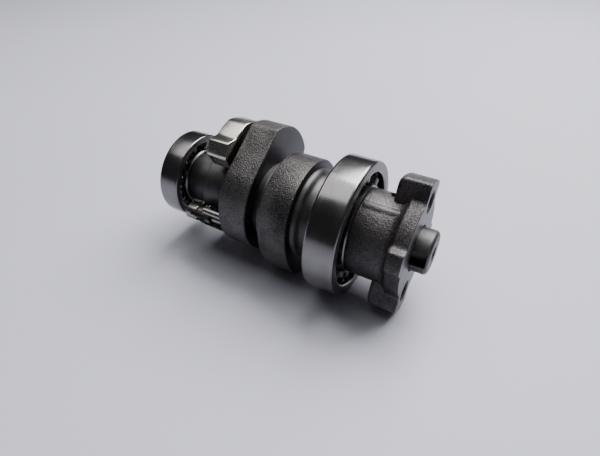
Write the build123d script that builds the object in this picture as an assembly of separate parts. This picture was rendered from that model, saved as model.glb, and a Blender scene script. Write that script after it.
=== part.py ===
from build123d import *
import math
import os
from dataclasses import dataclass

# Camshaft of a small single-cylinder engine, lying on its side.
# Millimetres. X runs along the shaft, out of the sprocket flange at its right end.
# The origin is on the shaft's axis, in the face that the sprocket is bolted to.
# Y points away from the viewer and Z up. Angles round the shaft are in degrees
# from +Y towards +Z, so 90 is up, 180 is the near side and -90 is down.

# Clearances
seat_gap = 0.01        # radial, between a pressed ring, hub or pin and its seat
pivot_gap = 0.04       # radial, weight on its pivot pin
race_gap = 0.03        # all round a ball in its races
contact_gap = 0.06     # between a stop, lug or spring leg and what it bears on
side_gap = 0.15        # endwise, between parts that turn past each other
swing_gap = 0.4        # least room round the lifting nose over its travel

# Sprocket end
spigot_r = 5.5
spigot_length = 4.0
spigot_chamfer = 0.5
slot_width = 3.6       # locating slot in the spigot's near side
slot_end = 3.55         # from the flange face, just past the start of the spigot's chamfer
slot_depth = 2.6
slot_angle = 168.0
hub_seat_r = 7.0       # shaft inside the flange's hub
hub_seat_shoulder = 5.0
plate_seat_r = 5.9     # shaft inside the flange's plate, a little thicker than the spigot
plate_seat_inset = 0.5
relief_width = 0.5      # undercut between that seat and the spigot, up to the flange face
relief_r = 5.2
centre_hole_r = 2.0
centre_pilot_r = 1.0
centre_hole_depth = 3.0
centre_angle = 60.0

# Sprocket flange
hub_r = 11.0
hub_length = 10.0
plate_thickness = 4.0
plate_r = 12.3
ear_angle = 67.0
ear_tip_r = 16.8
ear_width = 9.2
ear_thickness = 7.6
ear_back_round = 1.4
lug_angle = 161.0
lug_r = 14.3
lug_width = 5.6
plate_root_round = 1.6
plate_corner_round = 0.7
bolt_circle_r = 11.5
bolt_hole_r = 2.5
bolt_hole_depth = 8.6
bolt_hole_chamfer = 0.4
parting_rib_height = 0.35
parting_rib_width = 1.4
parting_rib_angle = 108.0

# Cam lobes, as cast
lobe_width = 8.0
lobe_edge_round = 0.45
lobe_gap = 3.9
lobe_1_base_r = 14.0
lobe_1_nose_angle = 52.0
lobe_1_nose_centre_r = 5.1
lobe_1_nose_r = 15.0
lobe_1_nose_half = 29.0
lobe_2_base_r = 14.2
lobe_2_foot_angle = 178.0
lobe_2_flank_angle = -135.0
lobe_2_flank_r = 16.0
lobe_2_front_angle = -118.0
lobe_2_back_angle = -38.0
lobe_2_nose_r = 20.0
lobe_2_nose_y = 0.6
lobe_2_land_half = 2.0  # half the flat land along the nose's tip, which the part lies on
lobe_2_lowest = 17.5   # below the axis, level with the big bearing

# Shaft
web_r = 10.2           # between the two lobes
collar_r = 12.1        # turned collar on each side of lobe 2
collar_left = 1.8
collar_right = 0.8
journal_r = 10.3       # shoulder that the big bearing's inner ring stands against
journal_gap = 6.2
neck_r = 8.4
neck_step_r = 7.0
neck_length = 15.4
neck_step_length = 6.0
end_stub = 0.8
end_chamfer = 0.5

# Cast ledge on the left of lobe 1, below the pivot
ledge_r = 13.0
ledge_start_angle = -140.0
ledge_end_angle = -115.0
ledge_round = 0.6

# Decompression weight and what carries it
pivot_angle = 204.0
pivot_r = 11.1
pin_r = 1.1
pin_press_depth = 6.0
head_r = 2.2
head_length = 3.3
head_chamfer = 0.3
eye_r = 2.1
weight_gap = 0.9       # between the weight and lobe 1
weight_thickness = 5.9
web_thickness = 1.6
web_reach = 8.8        # from lobe 1 to the web's left side, less the gap
weight_inner_r = 10.5
weight_outer_r = 19.1
arm_outer_r = 12.9
arm_end_angle = -105.0
link_end_angle = 0.0
shoulder_angle = -62.0
bulk_end_angle = 18.0
toe_angle = 119.3
toe_r = 15.7
ridge_angle = 109.0
ridge_r = 18.2
valley_angle = 98.7
valley_r = 17.1
bump_angle = 92.6
bump_r = 17.9
crest_angle = 83.0
toe_round = 0.9
lug_thickness = 1.2
lug_reach = 4.3
lug_clear = 2.2        # from the pivot to the lug, past the spring's coil
lug_length = 5.8       # along the shaft, from the web's left side
stop_r = 0.95
stop_reach = 4.4       # from the pivot to the stop pin
stop_bearing = 122.0   # direction of the stop pin from the pivot
stop_length = 5.9
stop_press_depth = 4.0
swing_deg = 8.0

# Lifting nose on the weight, and its notch in lobe 1
nose_angle = -80.0
nose_width = 2.4
nose_lift = 0.5
nose_depth = 2.6
nose_reach = 2.7

# Return spring round the pivot pin
wire_r = 0.35
coil_length = 2.0
coil_full_turns = 2
leg_length = 4.2


@dataclass(frozen=True)
class BallBearing:
    """Sizes of one open deep-groove ball bearing with a riveted ribbon cage."""

    bore: float
    outside: float
    width: float
    ball: float
    count: int
    inner_land: float      # the lands' distances from the pitch circle
    outer_land: float
    corner: float
    edge: float
    ribbon: float
    ribbon_width: float
    pocket_gap: float
    rivet_r: float
    rivet_head_r: float
    rivet_head: float

    @property
    def pitch_r(self):
        return (self.bore + self.outside) / 4

    @property
    def inner_land_r(self):
        return self.pitch_r - self.inner_land

    @property
    def outer_land_r(self):
        return self.pitch_r + self.outer_land


big = BallBearing(
    bore=17.0, outside=35.0, width=8.0, ball=4.76, count=10,
    inner_land=1.5, outer_land=1.7, corner=0.8, edge=0.3,
    ribbon=0.5, ribbon_width=1.8, pocket_gap=0.1,
    rivet_r=0.4, rivet_head_r=0.7, rivet_head=0.25,
)
small = BallBearing(
    bore=12.0, outside=24.0, width=6.0, ball=3.175, count=11,
    inner_land=1.1, outer_land=1.1, corner=0.5, edge=0.2,
    ribbon=0.35, ribbon_width=1.2, pocket_gap=0.08,
    rivet_r=0.25, rivet_head_r=0.45, rivet_head=0.2,
)

# Stations along the shaft, from the flange face to the left
x_hub = -(plate_thickness + hub_length)
x_big = x_hub - big.width
x_lobe_2 = x_big - journal_gap - lobe_width
x_lobe_1 = x_lobe_2 - lobe_gap - lobe_width
x_small = x_lobe_1 - neck_length - small.width
x_weight_right = x_lobe_1 - weight_gap
x_weight_left = x_weight_right - weight_thickness
x_web_left = x_weight_right - web_reach
x_web_right = x_web_left + web_thickness
x_head_right = x_web_left - side_gap


def polar(r, angle):
    """A point (y, z) at a radius and an angle round the shaft."""
    return (r * math.cos(math.radians(angle)), r * math.sin(math.radians(angle)))


def round_pivot(r, bearing):
    """A point (y, z) at a distance and a direction from the weight's pivot."""
    y, z = polar(pivot_r, pivot_angle)
    dy, dz = polar(r, bearing)
    return (y + dy, z + dz)


def rod(r, x0, x1, at=(0, 0)):
    """A round bar along X from x0 to x1, centred on the point (y, z)."""
    return Pos((x0 + x1) / 2, at[0], at[1]) * Rot(0, 90, 0) * Cylinder(r, x1 - x0)


def prism(sketch, x0, x1):
    """A sketch in (y, z), carried along X from x0 to x1."""
    return extrude(Plane.YZ.offset(x0) * sketch, amount=x1 - x0, dir=(1, 0, 0))


def sector(r_inner, r_outer, start, end):
    """The part of a flat ring between two angles, in (y, z)."""
    middle = (start + end) / 2
    outline = (
        ThreePointArc(polar(r_outer, start), polar(r_outer, middle), polar(r_outer, end))
        + Line(polar(r_outer, end), polar(r_inner, end))
        + ThreePointArc(polar(r_inner, end), polar(r_inner, middle), polar(r_inner, start))
        + Line(polar(r_inner, start), polar(r_outer, start))
    )
    return make_face(outline)


def turned(profile):
    """A solid of revolution about the shaft, from its outline of (x, r) points."""
    return revolve(make_face(Polyline(*profile, close=True)), Axis.X)


def ring_seat(r_inner, r_outer, x0, x1):
    """A plain tube about the shaft."""
    return rod(r_outer, x0, x1) - rod(r_inner, x0, x1)


def centre_hole(x_face, inward):
    """A drilled centre in an end face: a pilot hole with a conical mouth."""
    mouth = (centre_hole_r - centre_pilot_r) / math.tan(math.radians(centre_angle / 2))
    x_pilot = x_face + inward * mouth
    x_end = x_face + inward * centre_hole_depth
    return turned([
        (x_face, 0), (x_face, centre_hole_r), (x_pilot, centre_pilot_r), (x_end, centre_pilot_r), (x_end, 0),
    ])


# Camshaft: the cast and machined shaft with its two lobes
def shaft_core():
    x_left = x_small - end_stub
    x_neck = x_small + small.width
    x_step = x_neck + neck_step_length
    x_web = x_lobe_1 + lobe_width
    x_collar = x_lobe_2 - collar_left
    x_journal = x_lobe_2 + lobe_width + collar_right
    x_shoulder = -hub_seat_shoulder
    return turned([
        (x_left, 0),
        (x_left, small.bore / 2 - end_chamfer),
        (x_left + end_chamfer, small.bore / 2),
        (x_neck, small.bore / 2),
        (x_neck, neck_step_r),
        (x_step, neck_step_r),
        (x_step, neck_r),
        (x_web - lobe_width / 2, neck_r),
        (x_web - lobe_width / 2, web_r),
        (x_collar, web_r),
        (x_collar, collar_r),
        (x_journal, collar_r),
        (x_journal, journal_r),
        (x_big, journal_r),
        (x_big, big.bore / 2),
        (x_hub, big.bore / 2),
        (x_hub, hub_seat_r),
        (x_shoulder, hub_seat_r),
        (x_shoulder, plate_seat_r),
        (-plate_seat_inset, plate_seat_r),
        (-plate_seat_inset, relief_r),
        (relief_width - plate_seat_inset, relief_r),
        (relief_width - plate_seat_inset, spigot_r),
        (spigot_length - spigot_chamfer, spigot_r),
        (spigot_length, spigot_r - spigot_chamfer),
        (spigot_length, 0),
    ])


def lobe_1_outline():
    """A base circle, two straight flanks and a broad nose."""
    centre = polar(lobe_1_nose_centre_r, lobe_1_nose_angle)
    half = math.radians(lobe_1_nose_half)
    across = lobe_1_nose_centre_r * math.sin(half)
    corner_r = lobe_1_nose_centre_r * math.cos(half) + math.sqrt(lobe_1_nose_r ** 2 - across ** 2)
    flank = math.degrees(math.acos(lobe_1_base_r / corner_r))
    front, back = lobe_1_nose_angle + lobe_1_nose_half, lobe_1_nose_angle - lobe_1_nose_half
    outline = (
        ThreePointArc(
            polar(corner_r, back),
            polar(lobe_1_nose_centre_r + lobe_1_nose_r, lobe_1_nose_angle),
            polar(corner_r, front),
        )
        + Line(polar(corner_r, front), polar(lobe_1_base_r, front + flank))
        + ThreePointArc(
            polar(lobe_1_base_r, front + flank),
            polar(lobe_1_base_r, lobe_1_nose_angle + 180),
            polar(lobe_1_base_r, back - flank),
        )
        + Line(polar(lobe_1_base_r, back - flank), polar(corner_r, back))
    )
    return make_face(outline)


def lobe_2_nose(angle):
    """A point on the flat-curved nose of lobe 2, in a direction from the shaft's axis."""
    cy = lobe_2_nose_y
    cz = math.sqrt(lobe_2_nose_r ** 2 - lobe_2_land_half ** 2) - lobe_2_lowest
    uy, uz = polar(1, angle)
    along = cy * uy + cz * uz
    return polar(along + math.sqrt(lobe_2_nose_r ** 2 - (cy * uz - cz * uy) ** 2), angle)


def lobe_2_outline():
    """A base circle, a curved front flank, a broad nose and a straight back flank."""
    front, back = lobe_2_nose(lobe_2_front_angle), lobe_2_nose(lobe_2_back_angle)
    back_foot_angle = lobe_2_back_angle + math.degrees(math.acos(lobe_2_base_r / math.hypot(*back)))
    front_foot = polar(lobe_2_base_r, lobe_2_foot_angle)
    back_foot = polar(lobe_2_base_r, back_foot_angle)
    outline = (
        ThreePointArc(front_foot, polar(lobe_2_flank_r, lobe_2_flank_angle), front)
        + ThreePointArc(front, lobe_2_nose((lobe_2_front_angle + lobe_2_back_angle) / 2), back)
        + Line(back, back_foot)
        + ThreePointArc(back_foot, polar(lobe_2_base_r, (back_foot_angle + lobe_2_foot_angle) / 2), front_foot)
    )
    return make_face(outline)


def lobe_2_land():
    """What is ground off the tip of lobe 2's nose, to leave a narrow flat land."""
    middle = x_lobe_2 + lobe_width / 2
    side = 4 * lobe_2_land_half
    return Pos(middle, lobe_2_nose_y, -lobe_2_lowest - side / 2) * Box(2 * lobe_width, side, side)


def lobe(outline, x0):
    """A cast lobe with slightly rounded rims."""
    body = prism(outline, x0, x0 + lobe_width)
    rims = body.faces().sort_by(Axis.X)
    return fillet(rims[0].edges() + rims[-1].edges(), lobe_edge_round)


def spigot_slot():
    """A flat-bottomed slot in the spigot's near side, from its root at the flange to its chamfer."""
    length = slot_end + plate_seat_inset
    box = Box(length, slot_depth * 2, slot_width)
    return Rot(slot_angle, 0, 0) * Pos(slot_end - length / 2, spigot_r, 0) * box


def nose_travel():
    """How far the lifting nose moves inwards and along the rim as the weight swings out."""
    y, z = polar(lobe_1_base_r, nose_angle)
    py, pz = round_pivot(0, 0)
    swing = math.radians(swing_deg)
    dy, dz = -(z - pz) * swing, (y - py) * swing
    uy, uz = polar(1, nose_angle)
    return -(dy * uy + dz * uz), dz * uy - dy * uz


def nose_notch():
    """Room in lobe 1's left edge for the weight's lifting nose over its whole travel."""
    inwards, along = nose_travel()
    top = lobe_1_base_r + nose_lift + swing_gap
    floor = lobe_1_base_r + nose_lift - nose_depth - inwards - swing_gap
    depth = nose_reach + side_gap
    width = nose_width + abs(along) + 2 * swing_gap
    room = Box(depth, top - floor, width)
    return Rot(nose_angle, 0, 0) * Pos(x_lobe_1 + depth / 2, (top + floor) / 2, along / 2) * room


def cast_ledge():
    """A ledge left of lobe 1 that the lobe's casting runs out into."""
    outline = sector(neck_step_r, ledge_r, ledge_start_angle, ledge_end_angle)
    body = prism(outline, x_web_right + side_gap, x_lobe_1 + lobe_width / 2)
    left = body.faces().sort_by(Axis.X)[0]
    return fillet(left.edges(), ledge_round)


def make_camshaft():
    body = shaft_core()
    body += lobe(lobe_1_outline(), x_lobe_1)
    body += lobe(lobe_2_outline(), x_lobe_2) - lobe_2_land()
    body += cast_ledge()
    body -= spigot_slot()
    body -= centre_hole(spigot_length, -1)
    body -= centre_hole(x_small - end_stub, 1)
    body -= rod(pin_r + seat_gap, x_lobe_1, x_lobe_1 + pin_press_depth, round_pivot(0, 0))
    body -= rod(stop_r + seat_gap, x_lobe_1, x_lobe_1 + stop_press_depth, round_pivot(stop_reach, stop_bearing))
    return body - nose_notch()


# Sprocket flange: a casting pressed onto the shaft after the big bearing
def spoke(reach, width, angle):
    """A flat arm from the shaft's axis with a round end, in (y, z)."""
    return Rot(0, 0, angle) * (Pos(reach / 2, 0) * Rectangle(reach, width) & Circle(reach))


def soften(outline):
    """An outline with its outside corners rounded, as cast."""
    return offset(offset(outline, -plate_corner_round), plate_corner_round)


def flange_outline():
    rough = Circle(plate_r)
    for turn in (0, 180):
        rough += spoke(ear_tip_r, ear_width, ear_angle + turn)
        rough += spoke(lug_r, lug_width, lug_angle + turn)
    return soften(offset(offset(rough, plate_root_round), -plate_root_round))


def ear_boss(turn):
    """The thick part of one ear, rounded behind where the casting was left rough."""
    outline = soften(spoke(ear_tip_r, ear_width, ear_angle + turn))
    body = prism(outline, -ear_thickness, 0)
    back = body.faces().sort_by(Axis.X)[0]
    return fillet(back.edges(), ear_back_round)


def make_flange():
    body = rod(hub_r, x_hub, 0)
    body += prism(flange_outline(), -plate_thickness, 0)
    for turn in (0, 180):
        body += ear_boss(turn)
    rib = Pos((x_hub - plate_thickness) / 2, hub_r, 0) * Box(hub_length, 2 * parting_rib_height, parting_rib_width)
    body += Rot(parting_rib_angle, 0, 0) * rib
    body -= rod(hub_seat_r + seat_gap, x_hub, -hub_seat_shoulder)
    body -= rod(plate_seat_r + seat_gap, -hub_seat_shoulder, 0)
    for turn in (0, 180):
        at = polar(bolt_circle_r, ear_angle + turn)
        body -= rod(bolt_hole_r, -bolt_hole_depth, 0, at)
        mouth = Pos(-bolt_hole_chamfer / 2, at[0], at[1]) * Rot(0, 90, 0)
        body -= mouth * Cone(bolt_hole_r, bolt_hole_r + bolt_hole_chamfer, bolt_hole_chamfer)
    return body


# Ball bearings
def outer_ring(b, x0):
    x1 = x0 + b.width
    r = b.outside / 2
    ring = turned([
        (x0, b.outer_land_r + b.edge), (x0, r - b.corner), (x0 + b.corner, r), (x1 - b.corner, r),
        (x1, r - b.corner), (x1, b.outer_land_r + b.edge), (x1 - b.edge, b.outer_land_r),
        (x0 + b.edge, b.outer_land_r),
    ])
    return ring - race(b, x0)


def inner_ring(b, x0):
    x1 = x0 + b.width
    r = b.bore / 2 + seat_gap
    ring = turned([
        (x0, r + b.edge), (x0, b.inner_land_r - b.edge), (x0 + b.edge, b.inner_land_r),
        (x1 - b.edge, b.inner_land_r), (x1, b.inner_land_r - b.edge), (x1, r + b.edge),
        (x1 - b.edge, r), (x0 + b.edge, r),
    ])
    return ring - race(b, x0)


def race(b, x0):
    """The torus that both raceways are ground to."""
    return Pos(x0 + b.width / 2, 0, 0) * Rot(0, 90, 0) * Torus(b.pitch_r, b.ball / 2 + race_gap)


def ball_places(b, x0, half_step=0):
    """Where the balls stand, or the rivets between them."""
    step = 360 / b.count
    for i in range(b.count):
        y, z = polar(b.pitch_r, (i + half_step) * step)
        yield Pos(x0 + b.width / 2, y, z)


def balls(b, x0):
    return [place * Sphere(b.ball / 2) for place in ball_places(b, x0)]


def cage_half(b, x0):
    """The right half of the ribbon cage: flat lands between cups that hold the balls."""
    middle = x0 + b.width / 2
    pocket = b.ball / 2 + b.pocket_gap
    reach = pocket + b.ribbon
    inner = b.pitch_r - b.ribbon_width / 2
    outer = b.pitch_r + b.ribbon_width / 2
    half = ring_seat(inner, outer, middle, middle + b.ribbon)
    band = ring_seat(inner, outer, middle, middle + reach)
    for place in ball_places(b, x0):
        half += place * Sphere(reach) & band
    for place in ball_places(b, x0):
        half -= place * Sphere(pocket)
    for place in ball_places(b, x0, 0.5):
        half -= place * Rot(0, 90, 0) * Cylinder(b.rivet_r + seat_gap, 4 * b.ribbon)
    return half


def rivets(b, x0):
    """Headed rivets through the cage's lands."""
    grip = b.ribbon
    shape = Rot(0, 90, 0) * Cylinder(b.rivet_r, 2 * grip)
    for side in (-1, 1):
        head = Rot(0, 90, 0) * Cylinder(b.rivet_head_r, b.rivet_head)
        shape += Pos(side * (grip + b.rivet_head / 2), 0, 0) * head
    return [place * shape for place in ball_places(b, x0, 0.5)]


def bearing_nodes(name, b, x0):
    """Every piece of one bearing, by node name."""
    right_half = cage_half(b, x0)
    return {
        name + "_outer_ring": outer_ring(b, x0),
        name + "_inner_ring": inner_ring(b, x0),
        name + "_balls": balls(b, x0),
        name + "_cage_left": mirror(right_half, Plane.YZ.offset(x0 + b.width / 2)),
        name + "_cage_right": right_half,
        name + "_cage_rivets": rivets(b, x0),
    }


# Decompression weight: swings out about its pivot pin and draws its lifting nose in
def weight_outline():
    """The weight's thick part: a polished toe at the top, a heavy back and a slimmer bottom."""
    ridge, valley, bump = polar(ridge_r, ridge_angle), polar(valley_r, valley_angle), polar(bump_r, bump_angle)
    outline = (
        Polyline(polar(weight_inner_r, toe_angle), polar(toe_r, toe_angle), ridge, valley, bump,
                 polar(weight_outer_r, crest_angle))
        + ThreePointArc(
            polar(weight_outer_r, crest_angle),
            polar(weight_outer_r, (crest_angle + bulk_end_angle) / 2),
            polar(weight_outer_r, bulk_end_angle),
        )
        + Line(polar(weight_outer_r, bulk_end_angle), polar(arm_outer_r, shoulder_angle))
        + ThreePointArc(
            polar(arm_outer_r, shoulder_angle),
            polar(arm_outer_r, (shoulder_angle + arm_end_angle) / 2),
            polar(arm_outer_r, arm_end_angle),
        )
        + Line(polar(arm_outer_r, arm_end_angle), polar(weight_inner_r, arm_end_angle))
        + ThreePointArc(
            polar(weight_inner_r, arm_end_angle),
            polar(weight_inner_r, (toe_angle + arm_end_angle) / 2),
            polar(weight_inner_r, toe_angle),
        )
    )
    face = make_face(outline)
    corners = [face.vertices().sort_by_distance((y, z, 0))[0] for y, z in (ridge, valley, bump)]
    return fillet(corners, toe_round)


def lug_bearing():
    """Direction of the weight's lug from the pivot, so that it closes against the stop pin."""
    across = stop_r + contact_gap + lug_thickness - lug_face_offset()
    return stop_bearing + math.degrees(math.asin(across / stop_reach))


def coil_r():
    """Radius of the spring's coil, to the middle of its wire."""
    return pin_r + 2 * contact_gap + wire_r


def lug_face_offset():
    """How far the lug's sprung face lies from the radial line through the pivot."""
    return coil_r() - wire_r - contact_gap


def stop_lug(inner, x0, x1):
    """The weight's lug, from a distance off the pivot outwards."""
    middle = lug_face_offset() - lug_thickness / 2
    flat = Pos((inner + lug_reach) / 2, middle) * Rectangle(lug_reach - inner, lug_thickness)
    return prism(Pos(*round_pivot(0, 0)) * Rot(0, 0, lug_bearing()) * flat, x0, x1)


def lifting_nose():
    """The tongue that reaches into lobe 1's notch and stands proud of its base circle."""
    x0, x1 = x_weight_right - weight_thickness / 2, x_lobe_1 + nose_reach
    tongue = Box(x1 - x0, nose_depth, nose_width)
    outer = lobe_1_base_r + nose_lift
    return Rot(nose_angle, 0, 0) * Pos((x0 + x1) / 2, outer - nose_depth / 2, 0) * tongue


def make_weight():
    eye_at = round_pivot(0, 0)
    body = prism(weight_outline(), x_weight_left, x_weight_right)
    body += prism(sector(weight_inner_r, arm_outer_r, arm_end_angle, link_end_angle), x_web_left, x_weight_left)
    body += prism(sector(weight_inner_r, arm_outer_r, pivot_angle - 360, arm_end_angle), x_web_left, x_web_right)
    body += rod(eye_r, x_web_left, x_web_right, eye_at)
    body += stop_lug(0, x_web_left, x_web_right)
    body += stop_lug(lug_clear, x_web_left, x_web_left + lug_length)
    body += lifting_nose()
    return body - rod(pin_r + pivot_gap, x_web_left, x_web_right, eye_at)


def make_pivot_pin():
    """A headed pin, pressed into lobe 1's left face."""
    at = round_pivot(0, 0)
    head = rod(head_r, x_head_right - head_length, x_head_right, at)
    head = chamfer(head.edges().filter_by(GeomType.CIRCLE), head_chamfer)
    return head + rod(pin_r, x_head_right, x_lobe_1 + pin_press_depth, at)


def make_stop_pin():
    """The pin that the weight's lug closes against, pressed into lobe 1's left face."""
    at = round_pivot(stop_reach, stop_bearing)
    return rod(stop_r, x_lobe_1 - stop_length, x_lobe_1 + stop_press_depth, at)


def fixed_leg_bearing():
    """Direction of the spring's fixed leg, which presses on the far side of the stop pin."""
    across = stop_r + contact_gap + wire_r - coil_r()
    return stop_bearing - math.degrees(math.asin(across / stop_reach))


def make_spring():
    """A torsion coil round the pivot pin, its straight legs leaving it at a tangent."""
    start = lug_bearing() + 90
    part_turn = (fixed_leg_bearing() - 90 - start) % 360 / 360
    turns = coil_full_turns + part_turn
    pitch = coil_length / turns
    rise = leg_length * pitch / (2 * math.pi * coil_r())
    x0 = x_web_right + side_gap + wire_r + rise
    base = Plane(
        origin=(x0, *round_pivot(0, 0)),
        x_dir=(0, *polar(1, start)),
        z_dir=(1, 0, 0),
    )
    helix = base * Helix(pitch, coil_length, coil_r())
    body = sweep(Plane(origin=helix @ 0, z_dir=helix % 0) * Circle(wire_r), helix, is_frenet=True)
    body += extrude(Plane(origin=helix @ 0, z_dir=-(helix % 0)) * Circle(wire_r), amount=leg_length)
    body += extrude(Plane(origin=helix @ 1, z_dir=helix % 1) * Circle(wire_r), amount=leg_length)
    return body


def save(name, shape):
    """Write one node's solids to its STEP file."""
    solids = [solid for item in shape for solid in item.solids()] if isinstance(shape, list) else shape.solids()
    model = solids[0] if len(solids) == 1 else Compound(children=solids)
    model.label = name
    export_step(model, os.path.join("parts", name + ".step"))


def main():
    os.makedirs("parts", exist_ok=True)
    nodes = {
        "camshaft": make_camshaft(),
        "sprocket_flange": make_flange(),
        "decompression_weight": make_weight(),
        "weight_pivot_pin": make_pivot_pin(),
        "weight_stop_pin": make_stop_pin(),
        "weight_return_spring": make_spring(),
    }
    nodes.update(bearing_nodes("big_bearing", big, x_big))
    nodes.update(bearing_nodes("small_bearing", small, x_small))
    for name, shape in nodes.items():
        save(name, shape)


main()
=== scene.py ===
"""Looks of a small engine's camshaft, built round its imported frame.

Every shape is a surface of two parameters, worked out with numpy in millimetres and put into
Blender in metres. X runs along the shaft, out of the sprocket flange, Y points away from the
viewer and Z up. Angles round the shaft go from +Y towards +Z, so 90 is up and 180 is the near side.
"""

from __future__ import annotations

import logging
import math
from dataclasses import dataclass, field
from enum import Enum

import bmesh
import bpy
import numpy as np
from mathutils import Matrix, Vector

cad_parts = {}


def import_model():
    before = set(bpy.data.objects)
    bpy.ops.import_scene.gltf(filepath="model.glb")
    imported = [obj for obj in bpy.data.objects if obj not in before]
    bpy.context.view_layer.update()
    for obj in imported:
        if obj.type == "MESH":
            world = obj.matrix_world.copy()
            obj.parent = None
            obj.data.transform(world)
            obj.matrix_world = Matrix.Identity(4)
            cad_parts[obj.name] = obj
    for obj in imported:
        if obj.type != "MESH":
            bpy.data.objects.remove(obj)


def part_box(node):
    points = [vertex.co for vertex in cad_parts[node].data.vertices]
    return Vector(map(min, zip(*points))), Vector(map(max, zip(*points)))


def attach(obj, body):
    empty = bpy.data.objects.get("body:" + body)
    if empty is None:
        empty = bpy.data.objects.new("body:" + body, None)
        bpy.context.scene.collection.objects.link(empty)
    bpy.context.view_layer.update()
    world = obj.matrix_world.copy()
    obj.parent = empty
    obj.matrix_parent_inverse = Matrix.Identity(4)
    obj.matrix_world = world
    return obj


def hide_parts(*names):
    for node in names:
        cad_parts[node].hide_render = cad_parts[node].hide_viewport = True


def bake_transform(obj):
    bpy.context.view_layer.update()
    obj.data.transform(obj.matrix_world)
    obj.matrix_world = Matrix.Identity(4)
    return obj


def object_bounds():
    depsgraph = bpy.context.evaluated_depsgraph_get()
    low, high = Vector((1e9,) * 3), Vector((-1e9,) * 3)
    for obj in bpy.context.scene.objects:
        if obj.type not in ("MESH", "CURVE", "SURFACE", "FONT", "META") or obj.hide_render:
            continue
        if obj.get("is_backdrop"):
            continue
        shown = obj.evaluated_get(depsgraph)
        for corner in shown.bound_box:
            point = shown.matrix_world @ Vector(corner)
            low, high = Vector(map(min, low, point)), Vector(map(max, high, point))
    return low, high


LOG = logging.getLogger("camshaft")

# A millimetre in metres, a metre in millimetres, and how near two points in metres are one point.
MM = 0.001
METRE = 1000.0
WELD = 1e-7

# Edges that turn by more than CREASE stay sharp. A face looks along the shaft if the X part of its
# normal is more than FACE_LEAST_X on a casting, or FLAT_LEAST_X on a machined piece.
CREASE = math.radians(32)
FACE_LEAST_X = 0.93
FLAT_LEAST_X = 0.9

Array = np.ndarray
Socket = bpy.types.NodeSocket
Colour = tuple[float, float, float]


class Grain(Enum):
    """Which way the fine lines of a machined surface run."""

    ROUND_THE_SHAFT = "round"
    ALONG_THE_SHAFT = "along"


# Curves and outlines


def polar(r: Array | float, angle: Array | float) -> Array:
    """Turn a radius and an angle round the shaft into (y, z).

    Args:
        r: Distance from the shaft's axis.
        angle: Angle in degrees.

    Returns:
        The points r * (cos angle, sin angle), with y and z on the last axis.
    """
    turn = np.radians(angle)
    return np.stack([r * np.cos(turn), r * np.sin(turn)], axis=-1)


def arc_through(a: Array, b: Array, c: Array, steps: int = 64) -> Array:
    """Draw the circular arc from a through b to c.

    The centre is equally far from the three points. The arc's points turn evenly about it, the
    way round that passes b.

    Args:
        a: First point.
        b: A point between the ends.
        c: Last point.
        steps: Number of points.

    Returns:
        The arc's points, both ends included.
    """
    a, b, c = (np.asarray(point, float) for point in (a, b, c))
    normal = 2 * np.array([b - a, c - a])
    centre = np.linalg.solve(normal, [b @ b - a @ a, c @ c - a @ a])
    start, middle, end = (math.atan2(*(point - centre)[::-1]) for point in (a, b, c))
    sweep = (end - start) % math.tau
    if (middle - start) % math.tau > sweep:
        sweep -= math.tau
    turn = start + sweep * np.linspace(0, 1, steps)
    return centre + np.linalg.norm(a - centre) * np.stack([np.cos(turn), np.sin(turn)], axis=-1)


def respace(outline: Array, count: int) -> Array:
    """Space a closed outline's points evenly along its length.

    Args:
        outline: Closed outline, without its first point repeated.
        count: Number of points wanted.

    Returns:
        The outline with that many evenly spaced points.
    """
    loop = np.vstack([outline, outline[:1]])
    length = np.concatenate([[0], np.cumsum(np.linalg.norm(np.diff(loop, axis=0), axis=1))])
    where = np.linspace(0, length[-1], count, endpoint=False)
    return np.stack([np.interp(where, length, loop[:, axis]) for axis in (0, 1)], axis=-1)


def soften(outline: Array, spread: float, count: int = 720) -> Array:
    """Round a closed outline's corners as a casting's or a tumbled part's are rounded.

    Each point becomes the bell-curve average of its neighbours along the outline.

    Args:
        outline: Closed outline.
        spread: Width of the bell curve, in millimetres.
        count: Number of points in the result.

    Returns:
        The rounded outline, evenly spaced.
    """
    even = respace(outline, count)
    step = np.linalg.norm(even[1] - even[0])
    waves = np.fft.fftfreq(count, d=step)
    bell = np.exp(-2 * (math.pi * waves * spread) ** 2)
    rounded = [np.fft.ifft(np.fft.fft(even[:, axis]) * bell).real for axis in (0, 1)]
    return np.stack(rounded, axis=-1)


def rotated(points: Array, angle: float) -> Array:
    """Turn points (y, z) about the shaft's axis by an angle in degrees."""
    turn = math.radians(angle)
    return points @ np.array([[math.cos(turn), math.sin(turn)], [-math.sin(turn), math.cos(turn)]])


def rectangle(near: float, far: float, low: float, high: float) -> Array:
    """Draw the rectangle from near to far along an arm, and from low to high across it."""
    return np.array([[near, low], [far, low], [far, high], [near, high]])


def outward(outline: Array) -> Array:
    """Work out the unit normals of a closed outline that runs anticlockwise.

    Args:
        outline: Closed outline.

    Returns:
        One unit vector a point, square to the chord between its neighbours.
    """
    chord = np.roll(outline, -1, axis=0) - np.roll(outline, 1, axis=0)
    normal = np.stack([chord[:, 1], -chord[:, 0]], axis=-1)
    return normal / np.linalg.norm(normal, axis=1, keepdims=True)


def anticlockwise(outline: Array) -> Array:
    """Put a closed outline in anticlockwise order.

    Args:
        outline: Closed outline in either order.

    Returns:
        The same points, in the order that makes the enclosed area positive.
    """
    y, z = outline.T
    area = np.sum(y * np.roll(z, -1) - np.roll(y, -1) * z)
    return outline if area > 0 else outline[::-1]


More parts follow.
